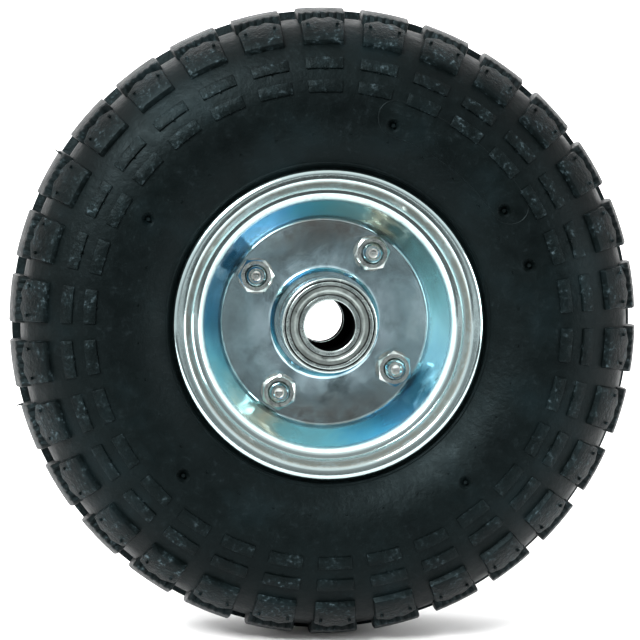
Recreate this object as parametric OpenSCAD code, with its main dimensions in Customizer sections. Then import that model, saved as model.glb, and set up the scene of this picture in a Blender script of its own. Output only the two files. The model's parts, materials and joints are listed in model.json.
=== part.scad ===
// Pneumatic hand-truck wheel: lugged tyre on a two-piece pressed rim, ball-bearing hub.
// Millimetres. The axle runs along Y through the origin, the front face looks towards -Y.

/* [Tyre] */
// outside diameter over the tread
tyre_d = 260; // [236:1:300]
// width over the sidewall blocks
tyre_w = 85; // [76:1:100]
// tread blocks around one side
lug_count = 30; // [20:1:40]
// share of each pitch that is rubber
lug_fill = 0.74; // [0.6:0.01:0.85]
// turn of the front blocks from straight up, degrees
lug_phase = 1.2; // [0:0.1:6]
// tread depth at the crown
lug_h = 5; // [3:0.5:7]
// height of the shoulder blocks
shoulder_h = 2.4; // [1:0.1:4]
// height of the small sidewall blocks
small_h = 1; // [0.5:0.1:1.5]

/* [Rim] */
// bead seat diameter
seat_d = 101.6; // [100:0.1:110]
// half width of the rim over the rolled lip
rim_half_w = 35; // [31:0.5:40]
// pressed sheet thickness
sheet_t = 2; // [1.5:0.1:2.5]
// height of the flange above the seat
flange_h = 11.4; // [10:0.1:14]
// radius of the flat bolting disc at its outer corner
disc_r = 44.5; // [43.5:0.1:45]

/* [Hub] */
// overall length over the bearing races
hub_len = 75; // [60:1:90]
// axle bore diameter
bore_d = 20; // [16:1:20]
// bearing outside diameter
bearing_d = 35; // [33:0.5:38]
// bearing width
bearing_w = 11; // [9:0.5:12]
// bearing ball diameter
ball_d = 4.76; // [4:0.01:5]
// balls in each bearing
ball_count = 9; // [7:1:11]
// hub tube wall outside the bearing
hub_wall = 1.5; // [1.2:0.1:3]

/* [Clamp bolts] */
// bolts that hold the two rim halves together
bolt_count = 4; // [3:1:6]
// bolt circle diameter
bolt_circle = 69; // [62:0.5:69]
// bolt thread diameter
bolt_d = 8; // [6:1:8]
// turn of the first bolt, degrees
bolt_phase = 56; // [40:1:62]

/* [Valve] */
// distance of the valve hole from the middle of the wheel
valve_s = 11; // [10.5:0.5:12]
// valve stem diameter
stem_d = 7.7; // [6:0.1:8]
// valve position around the wheel, degrees
valve_turn = 270; // [262:1:280]
// cap length
cap_len = 12; // [10:0.5:14]

/* [Hidden] */
$fn = 96;
far = 400;
// largest turn of one facet in a bend of the sheet, degrees
bend_step = 7.5;
// fits
run_gap = 0.05;
seat_gap = 0.1;
hole_gap = 0.25;
// tyre section: two large arcs per side and one shallow crown arc
tyre_r = tyre_d / 2;
half_w = tyre_w / 2;
seat_r = seat_d / 2;
lip_r = seat_r + flange_h;
base_r = tyre_r - lug_h;
wall_t = 5;
crown_t = 7;
side_in = 2.7;
side_rad = half_w - small_h - side_in;
side_c = base_r + 2.9 - side_rad;
crown_rad = 101;
tread_rad = 58;
crown_c = base_r - crown_rad;
bead_toe_s = valve_s + 6.4;
wire_rad = 2;
pitch_a = 360 / lug_count;
lug_a = pitch_a * lug_fill;
center_gap = 1.5;
center_edge = half_w * 0.565;
// rim half, middle of the sheet
half_t = sheet_t / 2;
hub_r = bearing_d / 2 + hub_wall;
wall_end_r = seat_r + 0.4;
wall_end_s = rim_half_w - 8;
lip_mid_s = rim_half_w - half_t;
lip_mid_r = lip_r - half_t;
collar_h = 6.5;
disc_bend = 3;
rim_path = [
  [hub_r + half_t, collar_h],
  [hub_r + half_t, half_t],
  [disc_r, half_t],
  [wall_end_r, wall_end_s],
  [lip_mid_r - 4.9, wall_end_s + 0.8],
  [lip_mid_r - 3, lip_mid_s],
  [lip_mid_r, lip_mid_s],
  [lip_mid_r, lip_mid_s - 3]
];
rim_bend = [0, 4, disc_bend, 2.5, 2.2, 1.5, 1.48, 0];
taper = atan2(wall_end_r - disc_r, wall_end_s - half_t);
// bearings
bore_r = bore_d / 2;
race_in = bore_r + 2.1;
race_out = bearing_d / 2 - 1.7;
pitch_r = (race_in + race_out) / 2 - 0.2;
groove_rad = ball_d / 2 + run_gap;
bear_mid = hub_len / 2 - bearing_w / 2;
bear_back = hub_len / 2 - bearing_w;
shield_t = 0.35;
shield_in = 0.5;
cage_w = ball_d + 2;
cage_t = 1.4;
// fasteners
nut_af = bolt_d * 1.625;
nut_h = bolt_d * 0.8125;
head_h = bolt_d * 0.6625;
spring_t = bolt_d * 0.25;
spring_r = bolt_d * 0.925;
stud_out = 4;
bolt_r = bolt_d / 2;
nut_s = sheet_t + spring_t;
bolt_end = nut_s + nut_h + stud_out;
disc_flat_r = disc_r - disc_bend * tan((90 - taper) / 2);
bolt_ring_r = min(bolt_circle / 2, disc_flat_r - nut_af / sqrt(3) - 0.1);
// valve
stem_r = stem_d / 2;
plug_r = stem_r + 1.4;
vhole_r = plug_r + seat_gap / 2;
flange_r = stem_r + 2.1;
washer_r = stem_r + 2.6;
washer_t = 1;
vnut_af = stem_d * 1.5;
vnut_h = 3.5;
bend_rad = 6;
wall_out_r = disc_r + (valve_s - half_t) * tan(taper) + half_t / cos(taper);
washer_sag = washer_r * washer_r / (2 * (wall_out_r - sheet_t)) + 0.05;
ring_len = 1.4;
ring_up = 0.3;
leg_in = sheet_t + washer_sag + washer_t + vnut_h + 0.3 + ring_len / 2;
bend_cr = wall_out_r - leg_in * cos(taper) + bend_rad * sin(taper);
bend_cs = valve_s + leg_in * sin(taper) + bend_rad * cos(taper);
stem_axis_r = bend_cr - bend_rad;
stem_end = hub_len / 2 - 5;
stem_bore = stem_r - 1.6;
floor_r = disc_r + (bead_toe_s - half_t) * tan(taper) + half_t / cos(taper);
core_len = 7;
pin_r = 0.7;
cap_wall = 1.3;
cap_in_s = stem_end - cap_len + 2.5;

// ---- placing -------------------------------------------------------------
// profiles are drawn as x = radius, y = distance from the middle towards a face
module front() rotate([90, 0, 0]) children();
module back() mirror([0, 1, 0]) rotate([90, 0, 0]) children();
module around_bolts() for (i = [0 : bolt_count - 1])
  rotate([0, 0, bolt_phase + i * 360 / bolt_count]) translate([bolt_ring_r, 0, 0]) children();

// ---- sheet sections ------------------------------------------------------
function unit(v) = v / norm(v);
function left(v) = [-v[1], v[0]];
function turn(a, b) = atan2(a[0] * b[1] - a[1] * b[0], a[0] * b[0] + a[1] * b[1]);

// points of one side of a band: k is +1 for the left side, -1 for the right side
function band_side(path, bend, h, k) = [
  for (i = [0 : len(path) - 1])
    let (
      d0 = unit(i == 0 ? path[1] - path[0] : path[i] - path[i - 1]),
      d1 = unit(i == len(path) - 1 ? path[i] - path[i - 1] : path[i + 1] - path[i]),
      q = turn(d0, d1),
      side = q > 0 ? 1 : -1,
      steps = bend[i] == 0 ? 0 : ceil(abs(q) / bend_step),
      c = path[i] - d0 * (bend[i] * tan(abs(q) / 2)) + left(d0) * side * bend[i]
    )
    for (j = [0 : steps])
      bend[i] == 0 ? path[i] + left(d0) * h * k
                   : c + rot2(left(d0), q * j / steps) * (h * k - side * bend[i])
];
function rot2(v, a) = [v[0] * cos(a) - v[1] * sin(a), v[0] * sin(a) + v[1] * cos(a)];
function backwards(v) = [for (i = [len(v) - 1 : -1 : 0]) v[i]];

// one band of even thickness along a path, bent round at each corner
module strip(path, bend, h)
  polygon(concat(band_side(path, bend, h, -1), backwards(band_side(path, bend, h, 1))));

// ---- tyre ----------------------------------------------------------------
// half of the inflated shape, shrunk by an even amount
module bag2d(inset) {
  intersection() {
    union() {
      translate([side_c, side_in]) circle(r = side_rad - inset);
      translate([side_c - side_rad + inset, 0]) square([2 * (side_rad - inset), side_in]);
    }
    translate([crown_c, 0]) circle(r = crown_rad - inset * crown_t / wall_t);
    square([far, far]);
  }
}

// the part of the casing that sits in the rim
module bead2d() {
  seat0 = disc_r + (bead_toe_s - half_t) * tan(taper) + half_t / cos(taper) + seat_gap;
  heel_s = wall_end_s - sheet_t + 0.4;
  heel_r = disc_r + (heel_s - half_t) * tan(taper) + half_t / cos(taper) + seat_gap;
  polygon([
    [seat0, bead_toe_s],
    [heel_r, heel_s - 0.9],
    [heel_r + 1, heel_s],
    [lip_mid_r - 3.6, wall_end_s - half_t + 0.3],
    [lip_r + 1.2, wall_end_s + 1.4],
    [lip_r + 6, wall_end_s - 0.5],
    [seat_r + 6.8, bead_toe_s + 3]
  ]);
}

module casing2d() {
  difference() {
    union() {
      difference() {
        bag2d(0);
        square([lip_r + 1, far]);
      }
      bead2d();
    }
    difference() {
      bag2d(wall_t);
      square([seat_r + 6.5, far]);
    }
    wire2d(seat_gap / 2);
  }
}

// a block on the sidewall between two angles of the section arc
module wall_lug2d(a0, a1, h) {
  c = [side_c, side_in];
  k = side_rad * 1.3;
  intersection() {
    difference() {
      translate(c) circle(r = side_rad + h);
      translate(c) circle(r = side_rad - 1);
    }
    polygon([c, c + k * [cos(a0), sin(a0)], c + k * [cos(a1), sin(a1)]]);
  }
}

// the tread block beside the middle, with its top on a rounder arc than the casing
module crown_lug2d() {
  intersection() {
    translate([tyre_r - tread_rad, 0]) circle(r = tread_rad);
    difference() {
      square([far, far]);
      translate([crown_c - 1.5, 0]) circle(r = crown_rad);
    }
    polygon([[base_r - 20, center_gap], [tyre_r + 5, center_gap],
             [tyre_r + 5, center_edge + 2.5], [base_r - 20, center_edge - 6.5]]);
  }
}

module lug_column() rotate([0, 0, 90 + lug_phase - lug_a / 2]) rotate_extrude(angle = lug_a) {
  crown_lug2d();
  wall_lug2d(35.5, 57, shoulder_h);
  wall_lug2d(65.8, 73.2, small_h);
  wall_lug2d(79.7, 87.1, small_h);
}

module tyre() color("#26292c") union() {
  front() rotate_extrude() {
    casing2d();
    mirror([0, 1]) casing2d();
  }
  for (i = [0 : lug_count - 1]) {
    front() rotate([0, 0, i * pitch_a]) lug_column();
    back() rotate([0, 0, (i + 0.5) * pitch_a]) lug_column();
  }
}

module wire2d(grow) translate([seat_r + 4.4, wall_end_s - 6]) circle(r = wire_rad + grow);

module bead_wires() color("#7d7f80") {
  front() rotate_extrude() wire2d(0);
  back() rotate_extrude() wire2d(0);
}

// the air bag also fills the well between the beads
module tube2d(inset) {
  difference() {
    bag2d(wall_t + inset);
    square([seat_r + 6.5 - inset, far]);
  }
  translate([floor_r + inset, 0])
    square([seat_r + 9 - floor_r - inset, bead_toe_s - seat_gap - inset]);
}

module inner_tube() color("#1d1d1e") difference() {
  front() rotate_extrude() difference() {
    union() {
      tube2d(seat_gap);
      mirror([0, 1]) tube2d(seat_gap);
    }
    tube2d(seat_gap + 1.5);
    mirror([0, 1]) tube2d(seat_gap + 1.5);
  }
  at_valve() translate([0, 0, -8]) cylinder(r = stem_r + run_gap, h = 12);
}

// ---- rim -----------------------------------------------------------------
module rim_half() {
  difference() {
    rotate_extrude() strip(rim_path, rim_bend, half_t);
    around_bolts() translate([0, 0, -1]) cylinder(r = bolt_r + hole_gap, h = sheet_t + 2);
  }
}

module rim_front() color("#8d979c") front() rim_half();

module rim_back() color("#8d979c") difference() {
  mirror([0, 1, 0]) front() rim_half();
  at_valve() translate([0, 0, -3]) cylinder(r = vhole_r, h = sheet_t + 6);
}

// ---- hub and bearings ----------------------------------------------------
module hub_tube() color("#98a2a6") front() difference() {
  translate([0, 0, -hub_len / 2]) cylinder(r = hub_r, h = hub_len);
  translate([0, 0, -hub_len / 2 - 1]) cylinder(r = race_out + 0.7, h = hub_len + 2);
  translate([0, 0, bear_back]) cylinder(r = bearing_d / 2, h = bearing_w + 1);
  translate([0, 0, -hub_len / 2 - 1]) cylinder(r = bearing_d / 2, h = bearing_w + 1);
}

module groove2d() translate([pitch_r, bear_mid]) circle(r = groove_rad);

module inner_race() rotate_extrude() difference() {
  translate([bore_r, bear_back]) square([race_in - bore_r, bearing_w]);
  groove2d();
}

module outer_race() rotate_extrude() difference() {
  translate([race_out, bear_back]) square([bearing_d / 2 - race_out, bearing_w]);
  groove2d();
}

module balls() for (i = [0 : ball_count - 1])
  rotate([0, 0, i * 360 / ball_count]) translate([pitch_r, 0, bear_mid]) sphere(r = ball_d / 2);

module cage() difference() {
  rotate_extrude() translate([pitch_r - cage_t / 2, bear_mid - cage_w / 2])
    square([cage_t, cage_w]);
  for (i = [0 : ball_count - 1]) rotate([0, 0, i * 360 / ball_count])
    translate([pitch_r - cage_t * 2, 0, bear_mid]) rotate([0, 90, 0])
      cylinder(r = ball_d / 2 + run_gap, h = cage_t * 4);
}

module shield2d() {
  mid = race_in + 1.2;
  polygon([
    [race_in + 0.15, bear_mid + bearing_w / 2 - shield_in - shield_t - 0.3],
    [mid, bear_mid + bearing_w / 2 - shield_in - shield_t - 0.3],
    [mid + 0.8, bear_mid + bearing_w / 2 - shield_in - shield_t],
    [race_out, bear_mid + bearing_w / 2 - shield_in - shield_t],
    [race_out, bear_mid + bearing_w / 2 - shield_in],
    [mid + 0.8, bear_mid + bearing_w / 2 - shield_in],
    [mid, bear_mid + bearing_w / 2 - shield_in - 0.3],
    [race_in + 0.15, bear_mid + bearing_w / 2 - shield_in - 0.3]
  ]);
}

module shield_pair() {
  rotate_extrude() shield2d();
  rotate_extrude() translate([0, 2 * bear_mid]) mirror([0, 1]) shield2d();
}

module inner_race_front() color("#b9bcbd") front() inner_race();
module inner_race_back() color("#b9bcbd") back() inner_race();
module outer_race_front() color("#b9bcbd") front() outer_race();
module outer_race_back() color("#b9bcbd") back() outer_race();
module balls_front() color("#d5d8da") front() balls();
module balls_back() color("#d5d8da") back() balls();
module cage_front() color("#a8a196") front() cage();
module cage_back() color("#a8a196") back() cage();

module bearing_shields() color("#8c857b") {
  front() shield_pair();
  back() shield_pair();
}

module spacer_tube() color("#9aa0a3") front() difference() {
  translate([0, 0, -bear_back]) cylinder(r = race_in - 0.6, h = 2 * bear_back);
  translate([0, 0, -bear_back - 1]) cylinder(r = bore_r + 0.2, h = 2 * bear_back + 2);
}

// ---- clamp bolts ---------------------------------------------------------
module hex(af, h) cylinder(r = af / sqrt(3), h = h, $fn = 6);

// rounds the corners of a hexagon with a true cone at the top
module cone_cap(af, h) union() {
  cylinder(r = af / sqrt(3), h = h - af * 0.075);
  translate([0, 0, h - af * 0.075])
    cylinder(r1 = af / sqrt(3), r2 = af / 2 * 0.955, h = af * 0.075);
}

module clamp_bolts() color("#aab1b4") front() around_bolts() {
  difference() {
    union() {
      translate([0, 0, -sheet_t]) cylinder(r = bolt_r, h = sheet_t + bolt_end - 0.8);
      translate([0, 0, bolt_end - 0.8]) cylinder(r1 = bolt_r, r2 = bolt_r - 0.8, h = 0.8);
      mirror([0, 0, 1]) translate([0, 0, sheet_t]) intersection() {
        hex(nut_af, head_h);
        cone_cap(nut_af, head_h);
      }
    }
    translate([0, 0, bolt_end - 0.5]) cylinder(r = bolt_r * 0.55, h = 1);
  }
}

module clamp_nuts() color("#aab1b4") front() around_bolts() difference() {
  translate([0, 0, nut_s]) intersection() {
    hex(nut_af, nut_h);
    cone_cap(nut_af, nut_h);
    translate([0, 0, nut_h]) mirror([0, 0, 1]) cone_cap(nut_af, nut_h);
  }
  translate([0, 0, nut_s - 1]) cylinder(r = bolt_r + run_gap, h = nut_h + 2);
}

module spring_washers() color("#9ba2a5") front() around_bolts()
  translate([0, 0, sheet_t]) rotate([0, 0, 160]) rotate_extrude(angle = 348)
    translate([bolt_r + 0.1, 0]) square([spring_r - bolt_r - 0.1, spring_t]);

// ---- valve ---------------------------------------------------------------
// z runs square to the rim wall, from its outer side towards the hub
module at_valve() back() rotate([0, 0, valve_turn]) translate([wall_out_r, 0, valve_s])
  rotate([0, taper - 90, 0]) children();

// z runs along the outer leg of the stem, parallel to the axle
module at_leg() back() rotate([0, 0, valve_turn]) translate([stem_axis_r, 0, 0]) children();

module valve_base() color("#232425") intersection() {
  at_valve() difference() {
    union() {
      translate([0, 0, -4]) cylinder(r1 = flange_r - 1, r2 = flange_r, h = 3.95);
      translate([0, 0, -0.05]) cylinder(r = plug_r, h = sheet_t + washer_sag);
    }
    translate([0, 0, -5]) cylinder(r = stem_r + run_gap, h = 14);
  }
  front() translate([0, 0, -far / 2]) cylinder(r = floor_r + seat_gap / 2, h = far);
}

// two legs and a bend; a raised ring covers each end of the bend
module stem_path(r) {
  at_valve() translate([0, 0, -3]) cylinder(r = r, h = 3 + leg_in - 0.3);
  at_valve() translate([0, 0, leg_in - ring_len / 2]) cylinder(r = r + ring_up, h = ring_len);
  at_valve() translate([bend_rad, 0, leg_in]) rotate([90, 0, 0]) rotate([0, 0, 90 + taper])
    rotate_extrude(angle = 90 - taper) translate([bend_rad, 0]) circle(r = r);
  at_leg() translate([0, 0, bend_cs - ring_len / 2]) cylinder(r = r + ring_up, h = ring_len);
  at_leg() translate([0, 0, bend_cs + 0.3]) cylinder(r = r, h = stem_end - bend_cs - 0.3);
}

module valve_stem() color("#b08d48") difference() {
  stem_path(stem_r);
  at_leg() translate([0, 0, bend_cs + 1]) cylinder(r = stem_bore, h = far);
}

module valve_washer() color("#a3a9ac") at_valve() translate([0, 0, sheet_t + washer_sag])
  difference() {
    cylinder(r = washer_r, h = washer_t);
    translate([0, 0, -1]) cylinder(r = stem_r + run_gap, h = washer_t + 2);
  }

module valve_nut() color("#b08d48") at_valve()
  translate([0, 0, sheet_t + washer_sag + washer_t]) difference() {
    intersection() {
      hex(vnut_af, vnut_h);
      cone_cap(vnut_af, vnut_h);
    }
    translate([0, 0, -1]) cylinder(r = stem_r + run_gap, h = vnut_h + 2);
  }

module valve_core() color("#b39a5c") at_leg() translate([0, 0, stem_end - core_len - 1])
  difference() {
    cylinder(r = stem_bore - run_gap, h = core_len);
    translate([0, 0, -1]) cylinder(r = pin_r + run_gap, h = core_len + 2);
  }

module valve_pin() color("#c9c2a8") at_leg() {
  translate([0, 0, stem_end - core_len - 1.5]) cylinder(r = pin_r, h = core_len + 1.2);
  translate([0, 0, stem_end - core_len - 2 - run_gap]) cylinder(r = pin_r * 2, h = 1);
}

module valve_cap() color("#2b2c2d") at_leg() translate([0, 0, cap_in_s]) difference() {
  union() {
    cylinder(r = stem_r + cap_wall, h = cap_len - 1);
    translate([0, 0, cap_len - 1])
      cylinder(r1 = stem_r + cap_wall, r2 = stem_r + cap_wall - 1, h = 1);
  }
  translate([0, 0, -1]) cylinder(r = stem_r + run_gap, h = cap_len - 1.2);
}

// ---- output --------------------------------------------------------------
inner_race_front();
inner_race_back();
spacer_tube();
tyre();
bead_wires();
inner_tube();
rim_front();
rim_back();
hub_tube();
outer_race_front();
outer_race_back();
bearing_shields();
balls_front();
balls_back();
cage_front();
cage_back();
clamp_bolts();
clamp_nuts();
spring_washers();
valve_base();
valve_stem();
valve_washer();
valve_nut();
valve_core();
valve_pin();
valve_cap();
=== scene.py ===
# %% [markdown]
# A pneumatic hand-truck wheel: a lugged rubber tyre on a dished steel rim of two pressed halves,
# a tube hub with a ball bearing in each end, four clamp bolts and a bent brass valve.
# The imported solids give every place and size. Materials could go on them as they are, but they
# have no bevels, blocks or threads. So this script keeps the solids that hide inside and puts
# finer pieces in place of the ones that show.

# %% Load the frame
import json
import math
import random

import bmesh
import bpy
from mathutils import Matrix, Vector

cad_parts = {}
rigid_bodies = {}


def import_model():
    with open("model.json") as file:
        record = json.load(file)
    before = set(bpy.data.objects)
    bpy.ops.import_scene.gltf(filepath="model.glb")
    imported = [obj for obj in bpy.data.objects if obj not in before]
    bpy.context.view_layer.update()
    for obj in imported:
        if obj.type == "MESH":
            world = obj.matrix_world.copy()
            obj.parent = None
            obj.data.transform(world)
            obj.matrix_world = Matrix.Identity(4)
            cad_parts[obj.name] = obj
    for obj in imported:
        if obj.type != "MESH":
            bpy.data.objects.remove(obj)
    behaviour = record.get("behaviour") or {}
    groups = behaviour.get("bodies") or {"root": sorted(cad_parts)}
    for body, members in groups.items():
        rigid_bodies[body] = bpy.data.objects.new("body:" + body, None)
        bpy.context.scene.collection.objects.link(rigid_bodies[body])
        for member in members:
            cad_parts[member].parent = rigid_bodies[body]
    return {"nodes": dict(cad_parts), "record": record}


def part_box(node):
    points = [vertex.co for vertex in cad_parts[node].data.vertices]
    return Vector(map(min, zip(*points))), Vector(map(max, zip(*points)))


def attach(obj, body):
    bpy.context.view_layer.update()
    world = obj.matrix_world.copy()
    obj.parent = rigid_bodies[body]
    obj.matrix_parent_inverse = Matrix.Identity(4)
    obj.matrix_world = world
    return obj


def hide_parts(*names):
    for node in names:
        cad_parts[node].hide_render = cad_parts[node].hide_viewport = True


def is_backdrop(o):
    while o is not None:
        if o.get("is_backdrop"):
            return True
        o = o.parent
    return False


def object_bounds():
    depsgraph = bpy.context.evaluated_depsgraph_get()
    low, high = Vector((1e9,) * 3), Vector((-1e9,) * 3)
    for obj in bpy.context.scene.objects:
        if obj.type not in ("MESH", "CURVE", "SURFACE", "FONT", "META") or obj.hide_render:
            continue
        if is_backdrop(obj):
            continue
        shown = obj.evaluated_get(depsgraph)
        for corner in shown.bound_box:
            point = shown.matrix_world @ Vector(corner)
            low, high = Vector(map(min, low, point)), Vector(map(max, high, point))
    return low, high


for old in bpy.data.objects[:]:
    bpy.data.objects.remove(old)
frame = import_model()
cad_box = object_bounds()
nodes = frame["nodes"]
scene = bpy.context.scene
MM = 0.001

# %% [markdown]
# Most sizes are read from the solids. The axle is the Y axis and the front face looks to -Y, so a
# radius is half of a box's X size and a distance from the middle is a Y value. Sections are drawn
# as (radius, distance towards the face) in millimetres. A size that is read follows the solid when
# that changes, and a size that is typed in again doesn't.

# %% Read the sizes
def half_x(node):
    low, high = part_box(node)
    return (high.x - low.x) / 2 / MM


def face_y(node):
    low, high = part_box(node)
    return max(-low.y, high.y) / MM


TYRE_R = half_x("tyre")
TYRE_HALF_W = face_y("tyre")
LIP_R = half_x("rim_front")
LIP_S = face_y("rim_front")
HUB_R = half_x("hub_tube")
HUB_S = face_y("hub_tube")
BEARING_R = half_x("outer_race_front")
BORE_R = 10.0
SHEET = 2.0
BEARING_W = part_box("inner_race_front")[1].y / MM + HUB_S
print(f"tyre {2 * TYRE_R:.1f} mm across and {2 * TYRE_HALF_W:.1f} mm wide")
print(f"rim lip {2 * LIP_R:.1f} mm across, hub {2 * HUB_S:.1f} mm long")

# %% [markdown]
# Nearly every part of a wheel was turned, rolled or moulded about its axle. A cylinder could be cut
# and scaled into each, but a drawn section holds every radius and step in one list, so that is the
# way here. It is drawn as a loose wire, and its corners are rounded with a vertex bevel.

# %% Draw a section
AXLE = Vector((0, 1, 0))
CORNER_STEPS = 5


def wire(bm, section, closed=True):
    verts = [bm.verts.new((r * MM, -s * MM, 0)) for r, s in section]
    pairs = list(zip(verts, verts[1:]))
    if closed:
        pairs.append((verts[-1], verts[0]))
    for a, b in pairs:
        bm.edges.new((a, b))
    return verts


def round_corner(bm, vert, radius, steps=CORNER_STEPS):
    ends = [e.other_vert(vert).co - vert.co for e in vert.link_edges]
    turn = math.pi - ends[0].angle(ends[1])
    bmesh.ops.bevel(bm, geom=[vert], offset=radius * MM * math.tan(turn / 2), offset_type="OFFSET",
                    segments=steps, profile=0.5, affect="VERTICES", clamp_overlap=False, material=-1)


print("a rounded corner has", CORNER_STEPS, "steps")

# %% [markdown]
# The section is spun a full turn about the axle. A Screw modifier would do the same, but the spin
# operator gives a mesh that can be worked on at once. A spin leaves a seam, so doubles are merged
# before the normals are made to agree. WELD is the distance, in metres.

# %% Spin a section
WELD = 1e-6


def outwards(bm):
    """Turns every face outwards."""
    bmesh.ops.recalc_face_normals(bm, faces=bm.faces[:])


def everything(bm):
    return bm.verts[:] + bm.edges[:] + bm.faces[:]


def spin_up(bm, steps=128):
    geom = bm.verts[:] + bm.edges[:]
    bmesh.ops.spin(bm, geom=geom, cent=(0, 0, 0), axis=AXLE, dvec=(0, 0, 0),
                   angle=math.tau, steps=steps, use_merge=True, use_duplicate=False)
    bmesh.ops.remove_doubles(bm, verts=bm.verts[:], dist=WELD)


def turned(section, corners=(), steps=128):
    """A ring turned from a closed section; corners is a list of (index, radius)."""
    bm = bmesh.new()
    verts = wire(bm, section)
    for index, radius in corners:
        round_corner(bm, verts[index], radius)
    spin_up(bm, steps)
    outwards(bm)
    return bm


print(f"points closer than {WELD / MM:.3f} mm become one")

# %% [markdown]
# Copies of a small part are joined into one mesh. Linked objects would be lighter, but one mesh is
# what takes a solid's place. Mirroring turns a shape inside out, so its faces are turned back.

# %% Join and mirror
def join(into, part, matrix=None):
    """Adds a copy of part to into, and returns the new vertices."""
    mesh = bpy.data.meshes.new("tmp")
    part.to_mesh(mesh)
    if matrix is not None:
        mesh.transform(matrix)
        if matrix.determinant() < 0:
            mesh.flip_normals()
    before = len(into.verts)
    into.from_mesh(mesh)
    bpy.data.meshes.remove(mesh)
    into.verts.ensure_lookup_table()
    return into.verts[before:]


def flipped(bm):
    """The same piece for the back half of the wheel."""
    bmesh.ops.scale(bm, vec=(1, -1, 1), verts=bm.verts[:])
    bmesh.ops.reverse_faces(bm, faces=bm.faces[:])
    return bm


print("a mirrored copy is scaled by -1 along", tuple(AXLE))

# %% [markdown]
# A finished mesh becomes an object that rides on its solid's body and takes the solid's place.
# Faces are shaded smooth, and edges sharper than the crease angle stay crisp without a bevel.

# %% Make an object
def placed(name, bm):
    """An object in the scene, made from the bmesh, which is used up."""
    mesh = bpy.data.meshes.new(name)
    bm.to_mesh(mesh)
    bm.free()
    obj = bpy.data.objects.new(name, mesh)
    scene.collection.objects.link(obj)
    return obj


def piece(name, bm, node, material, crease=32, inside=None, extra=None):
    """Makes the object, rides it on its node's body, and puts it in place of the node.
    Inside is (material, radius): what lies within that radius of the axle gets that material.
    Extra is a second material, for faces that already have the index 1."""
    obj = placed(name, bm)
    mesh = obj.data
    mesh.polygons.foreach_set("use_smooth", [True] * len(mesh.polygons))
    mesh.set_sharp_from_angle(angle=math.radians(crease))
    mesh.materials.append(material)
    if extra:
        mesh.materials.append(extra)
    if inside:
        mesh.materials.append(inside[0])
        for polygon in mesh.polygons:
            if math.hypot(polygon.center.x, polygon.center.z) < inside[1] * MM:
                polygon.material_index = 1
    bodies = frame["record"]["behaviour"]["bodies"]
    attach(obj, next(body for body, members in bodies.items() if node in members))
    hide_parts(node)
    print(f"{name}: {len(mesh.polygons)} faces")


# %% [markdown]
# Materials are node trees. They could be painted as pictures, but a procedural pattern needs no
# file, has no seams and keeps its real size. One helper adds a node with its settings and links,
# and one turns a hex colour into the linear numbers that Blender works in.

# %% Material helpers
PER_MM = 1 / MM


def linear(hex_colour):
    parts = [int(hex_colour[i:i + 2], 16) / 255 for i in (1, 3, 5)]
    return tuple(c / 12.92 if c <= 0.04045 else ((c + 0.055) / 1.055) ** 2.4 for c in parts) + (1.0,)


def add(tree, kind, *inputs, out=0, stops=(), **named):
    """Adds one node and returns one of its outputs, or the node itself when out is None.
    Inputs fill the sockets in order. A name with a capital is a socket, one without is a setting.
    An output is linked and a value is set. Stops are the (position, hex) pairs of a colour ramp."""
    node = tree.nodes.new("ShaderNode" + kind)
    sockets = dict(enumerate(inputs))
    for name, value in named.items():
        if name[0].isupper():
            sockets[name.replace("_", " ")] = value
        else:
            setattr(node, name, value)
    for key, value in sockets.items():
        if isinstance(value, bpy.types.NodeSocket):
            tree.links.new(value, node.inputs[key])
        else:
            node.inputs[key].default_value = value
    for index, (position, colour) in enumerate(stops):
        elements = node.color_ramp.elements
        element = elements[index] if index < 2 else elements.new(position)
        element.position, element.color = position, linear(colour)
    return node if out is None else node.outputs[out]


def blank(name):
    """An empty material, and its tree."""
    material = bpy.data.materials.new(name)
    material.use_nodes = True
    material.node_tree.nodes.clear()
    return material, material.node_tree


print("white is", linear("#ffffff"))

# %% [markdown]
# Dirt, film, painted shade and painted highlights on a wheel lie in rings. A ring's place could come
# from a UV map, but the distance from the axle needs no unwrapping.

# %% Rings about the axle
def from_axle(tree, where):
    """Each point's distance from the axle in millimetres, and its angle round the axle."""
    part = add(tree, "SeparateXYZ", where, out=None).outputs
    flat = add(tree, "CombineXYZ", part["X"], 0.0, part["Z"])
    length = add(tree, "VectorMath", flat, operation="LENGTH", out="Value")
    return (add(tree, "Math", length, PER_MM, operation="MULTIPLY"),
            add(tree, "Math", part["Z"], part["X"], operation="ARCTAN2"))


def near_ring(tree, radius, ring, core, fade):
    """1 on the ring, falling to 0 at a distance of fade."""
    gap = add(tree, "Math", radius, ring, operation="SUBTRACT")
    gap = add(tree, "Math", gap, operation="ABSOLUTE")
    return add(tree, "MapRange", gap, core, fade, 1.0, 0.0)


print("one millimetre is", 1 / PER_MM, "units")

# %% [markdown]
# Tyre rubber is filled with carbon black and cured against a steel mould. It is very dark, with a
# cool cast, and has a soft sheen where the mould was smooth. Handling leaves pale dust on what
# stands proud, and scuffs the block tops to a rough, sparkling grey. Pointiness could find the
# edges, but an attribute gives each block its own amount of dust.

# %% Cured tyre rubber
# the width of a cloud, of a scuffed patch and of a grain of grit, in millimetres
CLOUD_MM = 34
SCUFF_MM = 6
GRIT_MM = 1.7


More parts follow.
